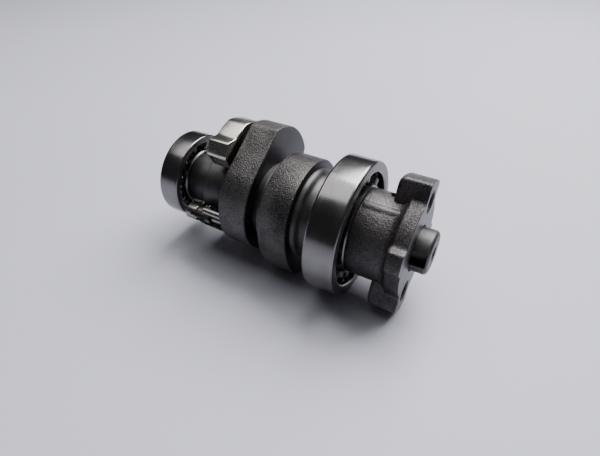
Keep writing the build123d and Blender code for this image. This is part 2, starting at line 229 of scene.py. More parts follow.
def rounded_profile(points: list[tuple[float, float, float]], steps: int = 7) -> Array:
    """Round the corners of an open profile.

    A corner's arc is the quarter-like curve b + (a - b)(1 - t)^2 + (c - b) t^2, which leaves each
    side at the corner's radius from it.

    Args:
        points: Profile as (x, r, corner radius).
        steps: Points on each rounded corner.

    Returns:
        The profile's points (x, r).
    """
    path = np.array(points, float)
    line, radii = path[:, :2], path[:, 2]
    pieces = [line[:1]]
    t = np.linspace(0, 1, steps)[:, None]
    for before, corner, after, radius in zip(line[:-2], line[1:-1], line[2:], radii[1:-1]):
        if radius <= 0:
            pieces.append(corner[None])
            continue
        back, ahead = before - corner, after - corner
        back *= min(radius, np.linalg.norm(back) / 2) / np.linalg.norm(back)
        ahead *= min(radius, np.linalg.norm(ahead) / 2) / np.linalg.norm(ahead)
        pieces.append(corner + back * (1 - t) ** 2 + ahead * t**2)
    pieces.append(line[-1:])
    return np.vstack(pieces)


# Surfaces


@dataclass
class Shell:
    """A surface as vertices in millimetres and faces as rows of vertex numbers."""

    vertices: Array
    quads: Array
    caps: list[Array] = field(default_factory=list)

    def copies(self, offsets: Array) -> Shell:
        """Repeat the surface at several places.

        Args:
            offsets: One (x, y, z) for each copy.

        Returns:
            All the copies as one surface.
        """
        count = len(self.vertices)
        vertices = (self.vertices[None] + offsets[:, None]).reshape(-1, 3)
        shift = count * np.arange(len(offsets))
        quads = (self.quads[None] + shift[:, None, None]).reshape(-1, 4)
        caps = [cap + step for step in shift for cap in self.caps]
        return Shell(vertices, quads, caps)

    def mirrored(self, x: float) -> Shell:
        """Mirror the surface in the plane at x, and turn its faces outwards again."""
        vertices = self.vertices * [-1, 1, 1] + [2 * x, 0, 0]
        return Shell(vertices, self.quads[:, ::-1], [cap[::-1] for cap in self.caps])


def joined(shells: list[Shell]) -> Shell:
    """Put several surfaces into one.

    Args:
        shells: The surfaces.

    Returns:
        One surface with all their faces.
    """
    starts = np.cumsum([0] + [len(shell.vertices) for shell in shells[:-1]])
    caps = [cap + start for shell, start in zip(shells, starts) for cap in shell.caps]
    quads = [shell.quads + start for shell, start in zip(shells, starts)]
    return Shell(np.vstack([shell.vertices for shell in shells]), np.vstack(quads), caps)


def grid(points: Array, close_u: bool, close_v: bool) -> Shell:
    """Cover a grid of points with quads.

    Args:
        points: Points as (u, v, xyz).
        close_u: Whether the last row joins the first.
        close_v: Whether the last column joins the first.

    Returns:
        The surface.
    """
    rows, columns = points.shape[:2]
    u = np.arange(rows if close_u else rows - 1)
    v = np.arange(columns if close_v else columns - 1)
    u, v = (axis.ravel() for axis in np.meshgrid(u, v, indexing="ij"))
    next_u, next_v = (u + 1) % rows, (v + 1) % columns
    here, there = u * columns, next_u * columns
    corners = [here + v, here + next_v, there + next_v, there + v]
    return Shell(points.reshape(-1, 3), np.stack(corners, axis=-1))


def turned(
    profile: Array, centre: tuple[float, float] = (0, 0), closed: bool = False, steps: int = 192,
) -> Shell:
    """Turn a profile about a line along X.

    The surface is (x(u), cy + r(u) cos v, cz + r(u) sin v). Ends that lie on the line close into
    poles, which are welded later.

    Args:
        profile: Points (x, r), along +X where the outside is seen.
        centre: The line's (y, z).
        closed: Whether the profile is a loop, as a ring's is.
        steps: Points round the line.

    Returns:
        The surface.
    """
    turn = np.linspace(0, math.tau, steps, endpoint=False)
    x = np.broadcast_to(profile[:, :1], (len(profile), steps))
    y = centre[0] + profile[:, 1:] * np.cos(turn)
    z = centre[1] + profile[:, 1:] * np.sin(turn)
    return grid(np.stack([x, y, z], axis=-1), closed, True)


def slab(
    outline: Array, x0: float, x1: float, left: float, right: float,
    steps: int = 6, shrink: bool = False,
) -> Shell:
    """Carry an outline along X, with its two rims rounded.

    The surface is outline(v) - n(v) * inset(u) at x(u), where (x, inset) runs round a quarter
    circle at each rim, and a flat face closes each end. A rim that is larger than the outline's own
    corners shrinks the outline towards its middle instead.

    Args:
        outline: Closed outline (y, z).
        x0: Left face.
        x1: Right face.
        left: Radius of the left rim.
        right: Radius of the right rim.
        steps: Points on each rim.
        shrink: Whether the rims shrink the outline.

    Returns:
        The closed surface.
    """
    loop = anticlockwise(outline)
    turn = np.linspace(0, math.pi / 2, steps)
    x = np.concatenate([x0 + left * (1 - np.cos(turn)), x1 - right * (1 - np.cos(turn[::-1]))])
    inset = np.concatenate([left * (1 - np.sin(turn)), right * (1 - np.sin(turn[::-1]))])
    inward = loop - loop.mean(axis=0)
    inward = inward / np.linalg.norm(inward, axis=1).mean() if shrink else outward(loop)
    flat = loop[None] - inward[None] * inset[:, None, None]
    along = np.broadcast_to(x[:, None, None], flat.shape[:2] + (1,))
    side = grid(np.concatenate([along, flat], axis=-1), False, True)
    count = len(loop)
    last = (len(x) - 1) * count
    return Shell(side.vertices, side.quads, [np.arange(count)[::-1], last + np.arange(count)])


def tube(path: Array, radius: float, steps: int = 20) -> Shell:
    """Sweep a round wire along a path, with round ends.

    The wire's section stands on n = X - (X.t)t and t x n, where t is the path's direction, and its
    radius falls away over each end as a sphere's does.

    Args:
        path: Points (x, y, z), nowhere along X.
        radius: The wire's radius.
        steps: Points round the wire.

    Returns:
        The closed surface.
    """
    along = np.gradient(path, axis=0)
    along /= np.linalg.norm(along, axis=1, keepdims=True)
    cap = radius * np.cos(np.linspace(0, math.pi / 2, 7))[:-1]
    start = path[0] - along[0] * cap[:, None]
    end = path[-1] + along[-1] * cap[::-1, None]
    points = np.vstack([start, path, end])
    first, last = (np.repeat(tip, len(cap), 0) for tip in (along[:1], along[-1:]))
    along = np.vstack([first, along, last])
    taper = np.sqrt(np.maximum(radius**2 - cap**2, 0))
    width = np.concatenate([taper, np.full(len(path), radius), taper[::-1]])
    across = np.array([1.0, 0, 0]) - along * along[:, :1]
    across /= np.linalg.norm(across, axis=1, keepdims=True)
    other = np.cross(along, across)
    turn = np.linspace(0, math.tau, steps, endpoint=False)
    cosine, sine = (wave(turn)[None, :, None] for wave in (np.cos, np.sin))
    ring = across[:, None] * cosine + other[:, None] * sine
    return grid(points[:, None] + width[:, None, None] * ring, False, True)


def ball(radius: float, rows: int = 24, columns: int = 36) -> Shell:
    """Make a sphere about the origin, as a half circle turned about X."""
    turn = np.linspace(math.pi, 0, rows)
    return turned(np.stack([radius * np.cos(turn), radius * np.sin(turn)], axis=-1), steps=columns)


def welded_mesh(name: str, shell: Shell) -> bpy.types.Mesh:
    """Put a surface into a mesh, close its seams and poles and turn its faces outwards.

    Args:
        name: The mesh's name.
        shell: The surface.

    Returns:
        The mesh, in metres.
    """
    mesh = bpy.data.meshes.new(name)
    faces = shell.quads.tolist() + [cap.tolist() for cap in shell.caps]
    mesh.from_pydata((shell.vertices * MM).tolist(), [], faces)
    work = bmesh.new()
    work.from_mesh(mesh)
    bmesh.ops.remove_doubles(work, verts=work.verts, dist=WELD)
    bmesh.ops.dissolve_degenerate(work, edges=work.edges, dist=WELD / 10)
    bmesh.ops.recalc_face_normals(work, faces=work.faces)
    work.to_mesh(mesh)
    work.free()
    return mesh


def linked(name: str, data: bpy.types.ID) -> bpy.types.Object:
    """Make an object of a mesh, a light or a camera and put it into the scene.

    Args:
        name: The object's name.
        data: The mesh, light or camera.

    Returns:
        The object.
    """
    thing = bpy.data.objects.new(name, data)
    bpy.context.scene.collection.objects.link(thing)
    return thing


def build(
    name: str, shell: Shell, body: str | None, node: str, finish: Finish,
) -> bpy.types.Object:
    """Put a surface into Blender and tie it to the frame.

    Args:
        name: The piece's name.
        shell: Its surface.
        body: The frame's body that it rides on, or None to leave it on no body.
        node: The frame's node that it stands for.
        finish: Its finish.

    Returns:
        The finished piece.
    """
    mesh = welded_mesh(name, shell)
    mesh.shade_smooth()
    mesh.set_sharp_from_angle(angle=CREASE)
    mesh.materials.append(finish.material())
    piece = linked(name, mesh)
    if body is not None:
        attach(piece, body)
    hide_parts(node)
    LOG.info("%s: %d faces on %s", name, len(mesh.polygons), body)
    return piece


def refinish(
    piece: bpy.types.Object, finish: Finish, least_x: float, front_only: bool = False,
) -> None:
    """Give the faces that look along the shaft a finish of their own.

    Args:
        piece: The piece.
        finish: The other finish.
        least_x: How squarely such a face looks along X, from 0 to 1.
        front_only: Whether only faces that look along +X count.
    """
    mesh = piece.data
    mesh.materials.append(finish.material())
    normals = np.zeros(len(mesh.polygons) * 3)
    mesh.polygons.foreach_get("normal", normals)
    along = normals.reshape(-1, 3)[:, 0]
    chosen = (along if front_only else np.abs(along)) > least_x
    mesh.polygons.foreach_set("material_index", chosen.astype(np.int32))


def carve(piece: bpy.types.Object, cutter: Shell) -> None:
    """Cut a shape out of a piece.

    Args:
        piece: The piece to cut.
        cutter: The closed surface of what is taken away.
    """
    tool = linked("cutter", welded_mesh("cutter", cutter))
    modifier = piece.modifiers.new("cut", "BOOLEAN")
    modifier.operation = "DIFFERENCE"
    modifier.solver = "EXACT"
    modifier.object = tool
    depsgraph = bpy.context.evaluated_depsgraph_get()
    result = bpy.data.meshes.new_from_object(piece.evaluated_get(depsgraph), depsgraph=depsgraph)
    piece.modifiers.clear()
    piece.data = result
    result.set_sharp_from_angle(angle=CREASE)
    bpy.data.objects.remove(tool)


# Finishes


class Nodes:
    """A short way to build a material's nodes."""

    def __init__(self, name: str) -> None:
        """Start a material with an empty shader.

        Args:
            name: The material's name.
        """
        self.material = bpy.data.materials.new(name)
        self.material.use_nodes = True
        self.tree = self.material.node_tree
        self.shader = self.tree.nodes["Principled BSDF"]
        self.coordinates = self.tree.nodes.new("ShaderNodeTexCoord").outputs["Object"]

    def add(
        self, kind: str, inputs: dict[str | int, object] | None = None, **settings: object,
    ) -> bpy.types.Node:
        """Add a node.

        Args:
            kind: Blender's name for the node's type, without its ShaderNode start.
            inputs: Socket name or number to a value or an output.
            **settings: The node's own settings.

        Returns:
            The node.
        """
        node = self.tree.nodes.new("ShaderNode" + kind)
        for key, value in settings.items():
            setattr(node, key, value)
        for key, value in (inputs or {}).items():
            self.fill(node.inputs[key], value)
        return node

    def fill(self, socket: Socket, value: object) -> None:
        """Link an output to a socket, or set a plain value directly on it.

        Args:
            socket: The socket to fill.
            value: An output, a number or a colour.
        """
        if isinstance(value, Socket):
            self.tree.links.new(value, socket)
        else:
            socket.default_value = value

    def math(self, operation: str, *values: object) -> Socket:
        """Combine numbers or outputs with one Math node and return its output."""
        return self.add("Math", dict(enumerate(values)), operation=operation).outputs[0]

    def sum(self, *terms: tuple[Socket, float]) -> Socket:
        """Add several outputs up, each times its share.

        Args:
            *terms: Pairs of an output and its share.

        Returns:
            The sum's output.
        """
        total = self.math("MULTIPLY", *terms[0])
        for value, share in terms[1:]:
            total = self.math("ADD", total, self.math("MULTIPLY", value, share))
        return total

    def squeezed(self, parts: list[Socket], factor: float) -> Socket:
        """Squeeze the coordinates' X part, so that a pattern stretches along the shaft."""
        place = {0: self.math("MULTIPLY", parts[0], factor), 1: parts[1], 2: parts[2]}
        return self.add("CombineXYZ", place).outputs[0]

    def noise(self, size: float, detail: float = 2, vector: Socket | None = None) -> Socket:
        """Add a Noise Texture of a size in millimetres and return its factor."""
        inputs = {"Vector": vector or self.coordinates, "Scale": METRE / size, "Detail": detail}
        return self.add("TexNoise", inputs).outputs["Fac"]

    def ramp(self, factor: Socket, low: float, high: float, dark: Colour, light: Colour) -> Socket:
        """Blend two colours between two values of a factor and return the colour.

        Args:
            factor: The output that chooses.
            low: Where the dark colour ends.
            high: Where the light colour starts.
            dark: The colour below low.
            light: The colour above high.

        Returns:
            The colour's output.
        """
        node = self.add("ValToRGB", {"Fac": factor})
        first, last = node.color_ramp.elements
        first.position, first.color = low, (*dark, 1)
        last.position, last.color = high, (*light, 1)
        return node.outputs["Color"]

    def span(self, factor: Socket, low: float, high: float, start: float, end: float) -> Socket:
        """Map a factor's range low to high onto start to end and return the number.

        Args:
            factor: The output to map.
            low: Start of its range.
            high: End of its range.
            start: Result at low.
            end: Result at high.

        Returns:
            The number's output.
        """
        inputs = {"From Min": low, "From Max": high, "To Min": start, "To Max": end}
        inputs["Value"] = factor
        return self.add("MapRange", inputs).outputs["Result"]

    def bump(self, height: Socket, depth: float, under: Socket | None = None) -> Socket:
        """Add a Bump of this depth in millimetres, over another, and return its normal.

        Args:
            height: The output that gives the height, from 0 to 1.
            depth: How far 1 stands over 0.
            under: The normal of the bump beneath, if there is one.

        Returns:
            The normal's output.
        """
        inputs = {"Height": height, "Strength": 1.0, "Distance": depth * MM}
        if under is not None:
            inputs["Normal"] = under
        return self.add("Bump", inputs).outputs["Normal"]

    def join(self, name: str, value: object) -> None:
        """Set one of the shader's sockets to a value or an output."""
        self.fill(self.shader.inputs[name], value)


class Finish:
    """A finish that makes its material once and hands it out again."""

    name: str
    made: dict[str, bpy.types.Material] = {}

    def material(self) -> bpy.types.Material:
        """Return the finish's material, made on first use.

        Returns:
            The material.
        """
        if self.name not in Finish.made:
            Finish.made[self.name] = self.make()
        return Finish.made[self.name]

    def make(self) -> bpy.types.Material:
        """Build the material."""
        raise NotImplementedError


@dataclass(frozen=True)
class CastIron(Finish):
    """Shot-blasted cast iron: coarse grain, fine pits and bright worn specks.

    grain is the size of a bump in millimetres and depth how far it stands out. The fine pits and
    the round cells are sized from the grain, and patches is the size of the darker patches. The
    shares say how much of each goes into the height and into the colour.
    """

    name: str
    dark: Colour
    light: Colour
    grain: float
    depth: float
    roughness: float
    metal: float = 0.88
    pits: float = 1 / 2.7
    cells: float = 1.5
    patches: float = 9.0
    pit_share: float = 0.35
    cell_share: float = 0.45
    grain_share: float = 0.55
    contrast: tuple[float, float] = (0.36, 0.64)
    pit_range: tuple[float, float] = (0.3, 0.7)
    smoother: float = 0.10
    rougher: float = 0.14

    def make(self) -> bpy.types.Material:
        """Build the material.

        Returns:
            The material.
        """
        n = Nodes(self.name)
        coarse = n.noise(self.grain, 3)
        fine = n.noise(self.grain * self.pits)
        patches = n.noise(self.patches, 3)
        inputs = {"Vector": n.coordinates, "Scale": METRE / (self.grain * self.cells)}
        cells = n.add("TexVoronoi", inputs).outputs["Distance"]
        height = n.sum((coarse, 1.0), (fine, self.pit_share), (cells, self.cell_share))
        mixed = n.sum((coarse, self.grain_share), (patches, 1 - self.grain_share))
        low, high = self.roughness - self.smoother, self.roughness + self.rougher
        n.join("Base Color", n.ramp(mixed, *self.contrast, self.dark, self.light))
        n.join("Metallic", self.metal)
        n.join("Roughness", n.span(fine, *self.pit_range, low, high))
        n.join("Normal", n.bump(height, self.depth))
        return n.material


@dataclass(frozen=True)
class MachinedSteel(Finish):
    """Turned, ground or rolled steel with fine lines one way.

    pitch is the lines' spacing in millimetres and depth their depth. round_stretch and
    along_stretch are how little of the way along a line counts, which draws the pattern out.
    chatter is the depth of the broken marks that a grinding wheel leaves along the shaft.
    """

    name: str
    dark: Colour
    light: Colour
    roughness: float
    spread: float
    pitch: float
    depth: float
    grain: Grain = Grain.ROUND_THE_SHAFT
    chatter: float = 0.0
    chatter_pitch: float = 0.45
    chatter_stretch: float = 0.12
    round_stretch: float = 0.0006
    along_stretch: float = 0.03
    smudge: float = 7.0
    line_share: float = 0.4
    contrast: tuple[float, float] = (0.35, 0.65)

    def lines(self, n: Nodes, parts: list[Socket]) -> Socket:
        """Make the fine lines, in radius and angle where they run round the shaft.

        Args:
            n: The material's nodes.
            parts: The outputs X, Y and Z of the coordinates.

        Returns:
            The lines' factor.
        """
        if self.grain is Grain.ALONG_THE_SHAFT:
            return n.noise(self.pitch, 3, n.squeezed(parts, self.along_stretch))
        squares = (n.math("POWER", part, 2.0) for part in parts[1:])
        radius = n.math("SQRT", n.math("ADD", *squares))
        angle = n.math("ARCTAN2", parts[2], parts[1])
        place = {0: parts[0], 1: radius, 2: n.math("MULTIPLY", angle, self.round_stretch)}
        return n.noise(self.pitch, 3, n.add("CombineXYZ", place).outputs[0])

    def make(self) -> bpy.types.Material:
        """Build the material.

        Returns:
            The material.
        """
        n = Nodes(self.name)
        parts = list(n.add("SeparateXYZ", {0: n.coordinates}).outputs)
        lines = self.lines(n, parts)
        mixed = n.sum((lines, self.line_share), (n.noise(self.smudge, 4), 1 - self.line_share))
        low, high = self.roughness - self.spread, self.roughness + self.spread
        n.join("Base Color", n.ramp(mixed, *self.contrast, self.dark, self.light))
        n.join("Metallic", 1.0)
        n.join("Roughness", n.span(mixed, *self.contrast, low, high))
        normal = n.bump(lines, self.depth)
        if self.chatter > 0:
            marks = n.noise(self.chatter_pitch, 2, n.squeezed(parts, self.chatter_stretch))
            normal = n.bump(marks, self.chatter, normal)
        n.join("Normal", normal)
        return n.material


@dataclass(frozen=True)
class PaleFloor(Finish):
    """A plain pale sheet with the faintest unevenness, of that size in millimetres."""

    name: str = "pale_floor"
    dark: Colour = (0.45, 0.455, 0.53)
    light: Colour = (0.48, 0.485, 0.56)
    patches: float = METRE / 6
    contrast: tuple[float, float] = (0.3, 0.7)
    roughness: float = 0.5
    shine: float = 0.25

    def make(self) -> bpy.types.Material:
        """Build the material.

        Returns:
            The material.
        """
        n = Nodes(self.name)
        tone = n.ramp(n.noise(self.patches), *self.contrast, self.dark, self.light)
        n.join("Base Color", tone)
        n.join("Roughness", self.roughness)
        n.join("Specular IOR Level", self.shine)
        return n.material


CAST_LOBE = CastIron(
    "cast_lobe_iron", dark=(0.014, 0.013, 0.014), light=(0.135, 0.13, 0.128),
    grain=0.30, depth=0.14, roughness=0.36,
)
CAST_FLANGE = CastIron(
    "cast_flange_iron", dark=(0.018, 0.016, 0.018), light=(0.13, 0.122, 0.125),
    grain=0.30, depth=0.10, roughness=0.38,
)
LOBE_FACE = MachinedSteel(
    "lobe_face_iron", dark=(0.035, 0.034, 0.036), light=(0.075, 0.073, 0.075),
    roughness=0.42, spread=0.08, pitch=0.3, depth=0.010,
)
TURNED_IRON = MachinedSteel(
    "turned_iron", dark=(0.055, 0.054, 0.057), light=(0.12, 0.118, 0.12),
    roughness=0.48, spread=0.08, pitch=0.22, depth=0.006,
)
FACED_IRON = MachinedSteel(
    "faced_iron", dark=(0.075, 0.075, 0.08), light=(0.125, 0.125, 0.13),
    roughness=0.40, spread=0.06, pitch=0.2, depth=0.003,
)
GROUND_RING = MachinedSteel(
    "ground_ring_steel", dark=(0.155, 0.15, 0.152), light=(0.215, 0.21, 0.213),
    roughness=0.20, spread=0.05, pitch=0.12, depth=0.003, chatter=0.006,
)
# The outer rings' side faces: rougher than the ring's outside, as ground faces are, and darker in
# colour, which is painted shade.
RING_FACE_PAINTED_SHADE = MachinedSteel(
    "ring_face_steel_painted_shade", dark=(0.10, 0.10, 0.105), light=(0.17, 0.168, 0.17),
    roughness=0.36, spread=0.06, pitch=0.14, depth=0.003,
)
RACE_STEEL = MachinedSteel(
    "race_steel", dark=(0.12, 0.118, 0.12), light=(0.20, 0.198, 0.20),
    roughness=0.26, spread=0.05, pitch=0.14, depth=0.002,
)
BALL_STEEL = MachinedSteel(
    "ball_steel", dark=(0.30, 0.30, 0.31), light=(0.40, 0.40, 0.41),
    roughness=0.10, spread=0.03, pitch=0.5, depth=0.0003,
)
CAGE_STEEL = MachinedSteel(
    "cage_steel", dark=(0.06, 0.055, 0.05), light=(0.14, 0.13, 0.12),
    roughness=0.30, spread=0.06, pitch=0.3, depth=0.002,
)
WEIGHT_STEEL = MachinedSteel(
    "weight_steel", dark=(0.36, 0.35, 0.32), light=(0.54, 0.525, 0.48),
    roughness=0.24, spread=0.07, pitch=0.14, depth=0.004, grain=Grain.ALONG_THE_SHAFT,
)
LINK_STEEL = MachinedSteel(
    "link_steel", dark=(0.07, 0.067, 0.062), light=(0.14, 0.135, 0.125),
    roughness=0.34, spread=0.06, pitch=0.2, depth=0.003,
)
PIN_STEEL = MachinedSteel(
    "pin_steel", dark=(0.18, 0.175, 0.165), light=(0.32, 0.31, 0.295),
    roughness=0.28, spread=0.06, pitch=0.2, depth=0.003,
)
SPRING_WIRE = MachinedSteel(
    "spring_wire", dark=(0.16, 0.15, 0.135), light=(0.28, 0.27, 0.245),
    roughness=0.28, spread=0.06, pitch=0.1, depth=0.002,
)


# The camshaft itself


@dataclass
class Extent:
    """Where a frame's node lies, in millimetres."""

    low: Array
    high: Array

    @classmethod
    def of(cls, node: str) -> Extent:
        """Read a node's box from the frame.

        Args:
            node: The node's name.

        Returns:
            Its lowest and highest corners.
        """
        low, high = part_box(node)
        return cls(np.array(low) / MM, np.array(high) / MM)


@dataclass
class CastShaft:
    """The cast and machined shaft with its two lobes, spigot and ledge.

    Lobe 1 is the left one and lobe 2 the right one. A name that ends in _r is a radius, and one
    that ends in _angle or _angles is in degrees round the shaft. notch is the lifting nose's room
    in lobe 1, as from and to along its arm and from and to across it.
    """

    big: Extent
    small: Extent
    whole: Extent
    lobe_width: float = 8.0
    lobe_gap: float = 3.9
    journal_gap: float = 6.2
    base_1: float = 14.0
    nose_1_angle: float = 52.0
    nose_1_centre: float = 5.1
    nose_1_r: float = 15.0
    nose_1_half: float = 29.0
    base_2: float = 14.2
    foot_2_angle: float = 178.0
    flank_2: tuple[float, float] = (16.0, -135.0)
    front_2_angle: float = -118.0
    back_2_angle: float = -38.0
    nose_2_r: float = 20.0
    nose_2_y: float = 0.6
    land_half: float = 2.0
    lowest_2: float = 17.5
    web_r: float = 10.2
    collar_r: float = 12.1
    journal_r: float = 10.3
    neck_r: float = 8.4
    neck_step_r: float = 7.0
    neck_step_length: float = 6.0
    hub_seat_r: float = 7.0
    plate_seat_r: float = 5.9
    relief_r: float = 5.2
    spigot_r: float = 5.5
    ledge_r: float = 13.0
    ledge_angles: tuple[float, float] = (-140.0, -115.0)
    ledge_left: float = -56.05
    slot_angle: float = 168.0
    slot_width: float = 3.6
    slot_end: float = 3.55
    slot_depth: float = 2.6
    lifting_nose_angle: float = -80.0
    notch: tuple[float, float, float, float] = (9.9, 16.0, -2.0, 3.3)
    notch_depth: float = 2.85
    cast_round: float = 0.35
    rim_r: float = 0.45
    heel_points: int = 120
    big_seat_r: float = 8.5
    small_seat_r: float = 6.0
    web_blend: float = 2.0
    collar_left: float = 1.8
    collar_right: float = 0.8
    collar_slope: float = 1.4
    plate_seat_x: float = -5.0
    relief_x: float = -0.5
    end_chamfer: float = 0.5
    tip_chamfer: float = 0.6
    centre_r: float = 2.0
    pilot_r: float = 1.0
    cone_depth: float = 1.6
    pilot_depth: float = 2.6
    slot_left: float = -0.4
    cutter_rim: float = 0.05

    @property
    def lobe_2_left(self) -> float:
        """Left face of lobe 2."""
        return float(self.big.low[0]) - self.journal_gap - self.lobe_width

    @property
    def lobe_1_left(self) -> float:
        """Left face of lobe 1."""
        return self.lobe_2_left - self.lobe_gap - self.lobe_width

    def lobe_1_outline(self) -> Array:
        """Draw lobe 1: a base circle, two straight flanks and a broad nose.

        The nose circle meets each flank where the flank's tangent from the base circle ends.

        Returns:
            The closed outline.
        """
        half = math.radians(self.nose_1_half)
        across = self.nose_1_centre * math.sin(half)
        corner = self.nose_1_centre * math.cos(half) + math.sqrt(self.nose_1_r**2 - across**2)
        flank = math.degrees(math.acos(self.base_1 / corner))
        front, back = self.nose_1_angle + self.nose_1_half, self.nose_1_angle - self.nose_1_half
        tip = polar(self.nose_1_centre + self.nose_1_r, self.nose_1_angle)
        nose = arc_through(polar(corner, back), tip, polar(corner, front))
        sweep = np.linspace(front + flank, back - flank + 360, self.heel_points)
        return soften(np.vstack([nose, polar(self.base_1, sweep)]), self.cast_round)

    def nose_2(self, angle: float) -> Array:
        """Find where a line from the axis at an angle meets lobe 2's nose circle.

        With the circle's centre at c and the line's direction d, the point is
        d (c.d + sqrt(r^2 - (c x d)^2)).

        Args:
            angle: The line's angle in degrees.

        Returns:
            The far one of the two points (y, z).
        """
        rise = math.sqrt(self.nose_2_r**2 - self.land_half**2)
        centre = np.array([self.nose_2_y, rise - self.lowest_2])
        ray = polar(1.0, angle)
        along = centre @ ray
        across = centre[0] * ray[1] - centre[1] * ray[0]
        return ray * (along + math.sqrt(self.nose_2_r**2 - across**2))

    def lobe_2_outline(self) -> Array:
        """Draw lobe 2: a base circle, a curved front flank, a broad nose and a straight back flank.

        The nose's tip is cut off flat at its lowest, which leaves the land that the part lies on.

        Returns:
            The closed outline.
        """
        front, back = self.nose_2(self.front_2_angle), self.nose_2(self.back_2_angle)
        middle = self.nose_2((self.front_2_angle + self.back_2_angle) / 2)
        foot = self.back_2_angle + math.degrees(math.acos(self.base_2 / np.linalg.norm(back)))
        heel = polar(self.base_2, np.linspace(foot, self.foot_2_angle, self.heel_points))
        flank = arc_through(polar(self.base_2, self.foot_2_angle), polar(*self.flank_2), front)
        nose = arc_through(front, middle, back)
        outline = soften(np.vstack([heel[:-1], flank[:-1], nose]), self.cast_round)
        return np.column_stack([outline[:, 0], np.maximum(outline[:, 1], -self.lowest_2)])

    def make_turned(self) -> None:
        """Make the turned shaft, from its left end to the spigot's tip."""
        x_end, x_tip = float(self.whole.low[0]), float(self.whole.high[0])
        x_small, x_big = float(self.small.high[0]), float(self.big.low[0])
        x_step, x_hub = x_small + self.neck_step_length, float(self.big.high[0])
        x_lobe, x_web = self.lobe_1_left, self.lobe_1_left + self.lobe_width
        x_collar = self.lobe_2_left - self.collar_left
        x_slope = self.lobe_2_left + self.lobe_width + self.collar_right
        left_end = [
            (x_end + self.pilot_depth, 0, 0), (x_end + self.pilot_depth, self.pilot_r, 0),
            (x_end + self.cone_depth, self.pilot_r, 0.1), (x_end, self.centre_r, 0.1),
            (x_end, self.small_seat_r - self.end_chamfer, 0.15),
            (x_end + self.end_chamfer, self.small_seat_r, 0.15), (x_small, self.small_seat_r, 0),
        ]
        neck = [
            (x_small, self.neck_step_r, 0.15), (x_step, self.neck_step_r, 0.5),
            (x_step, self.neck_r, 0.35), (x_lobe, self.neck_r, 0),
            (x_lobe + self.web_blend, self.neck_r, 0), (x_web - self.web_blend, self.web_r, 0),
            (x_web, self.web_r, 0), (x_collar, self.web_r, 0.4),
        ]
        journal = [
            (x_collar, self.collar_r, 0.35), (x_slope, self.collar_r, 0.9),
            (x_slope + self.collar_slope, self.journal_r, 1.6), (x_big, self.journal_r, 0.25),
            (x_big, self.big_seat_r, 0), (x_hub, self.big_seat_r, 0), (x_hub, self.hub_seat_r, 0),
            (self.plate_seat_x, self.hub_seat_r, 0), (self.plate_seat_x, self.plate_seat_r, 0),
        ]
        spigot = [
            (self.relief_x, self.plate_seat_r, 0), (self.relief_x, self.relief_r, 0),
            (0, self.relief_r, 0), (0, self.spigot_r, 0),
            (x_tip - self.tip_chamfer, self.spigot_r, 0.35),
            (x_tip, self.spigot_r - self.tip_chamfer, 0.3), (x_tip, self.centre_r, 0.1),
            (x_tip - self.cone_depth, self.pilot_r, 0.1),
            (x_tip - self.pilot_depth, self.pilot_r, 0), (x_tip - self.pilot_depth, 0, 0),
        ]
        profile = rounded_profile(left_end + neck + journal + spigot)
        piece = build(
            "turned_shaft", turned(profile), "shaft", "camshaft", TURNED_IRON,
        )
        self.cut_slot(piece)

    def cut_slot(self, piece: bpy.types.Object) -> None:
        """Cut the locating slot into the spigot's near side.

        Args:
            piece: The turned shaft.
        """
        half, floor = self.slot_width / 2, self.spigot_r - self.slot_depth
        outline = rotated(rectangle(floor, self.spigot_r + 3, -half, half), self.slot_angle)
        rim = self.cutter_rim
        carve(piece, slab(outline, self.slot_left, self.slot_end, rim, rim, 2))

    def make_casting(self, name: str, shell: Shell) -> bpy.types.Object:
        """Make one rough-cast piece of the shaft."""
        return build(name, shell, "shaft", "camshaft", CAST_LOBE)

    def make_lobes(self) -> None:
        """Make the two cast lobes and the ledge that the first one's casting runs out into."""
        x1, x2, rim = self.lobe_1_left, self.lobe_2_left, self.rim_r
        lobe_1 = self.make_casting(
            "lobe_1", slab(self.lobe_1_outline(), x1, x1 + self.lobe_width, rim, rim),
        )
        self.cut_notch(lobe_1)
        refinish(lobe_1, LOBE_FACE, FACE_LEAST_X)
        lobe_2 = self.make_casting(
            "lobe_2", slab(self.lobe_2_outline(), x2, x2 + self.lobe_width, rim, rim),
        )
        refinish(lobe_2, LOBE_FACE, FACE_LEAST_X)
        sweep = np.linspace(*self.ledge_angles, 40)
        ledge = np.vstack([polar(self.ledge_r, sweep), polar(self.neck_step_r, sweep[::-1])])
        outline = soften(ledge, 0.3, 200)
        self.make_casting("cast_ledge", slab(outline, self.ledge_left, x1 + 2, 0.6, 0.3))

    def cut_notch(self, piece: bpy.types.Object) -> None:
        """Cut the notch in lobe 1 that the lifting nose works in.

        Args:
            piece: Lobe 1.
        """
        outline = rotated(rectangle(*self.notch), self.lifting_nose_angle)
        x1, rim = self.lobe_1_left, self.cutter_rim
        carve(piece, slab(outline, x1 - 1, x1 + self.notch_depth, rim, rim, 2))


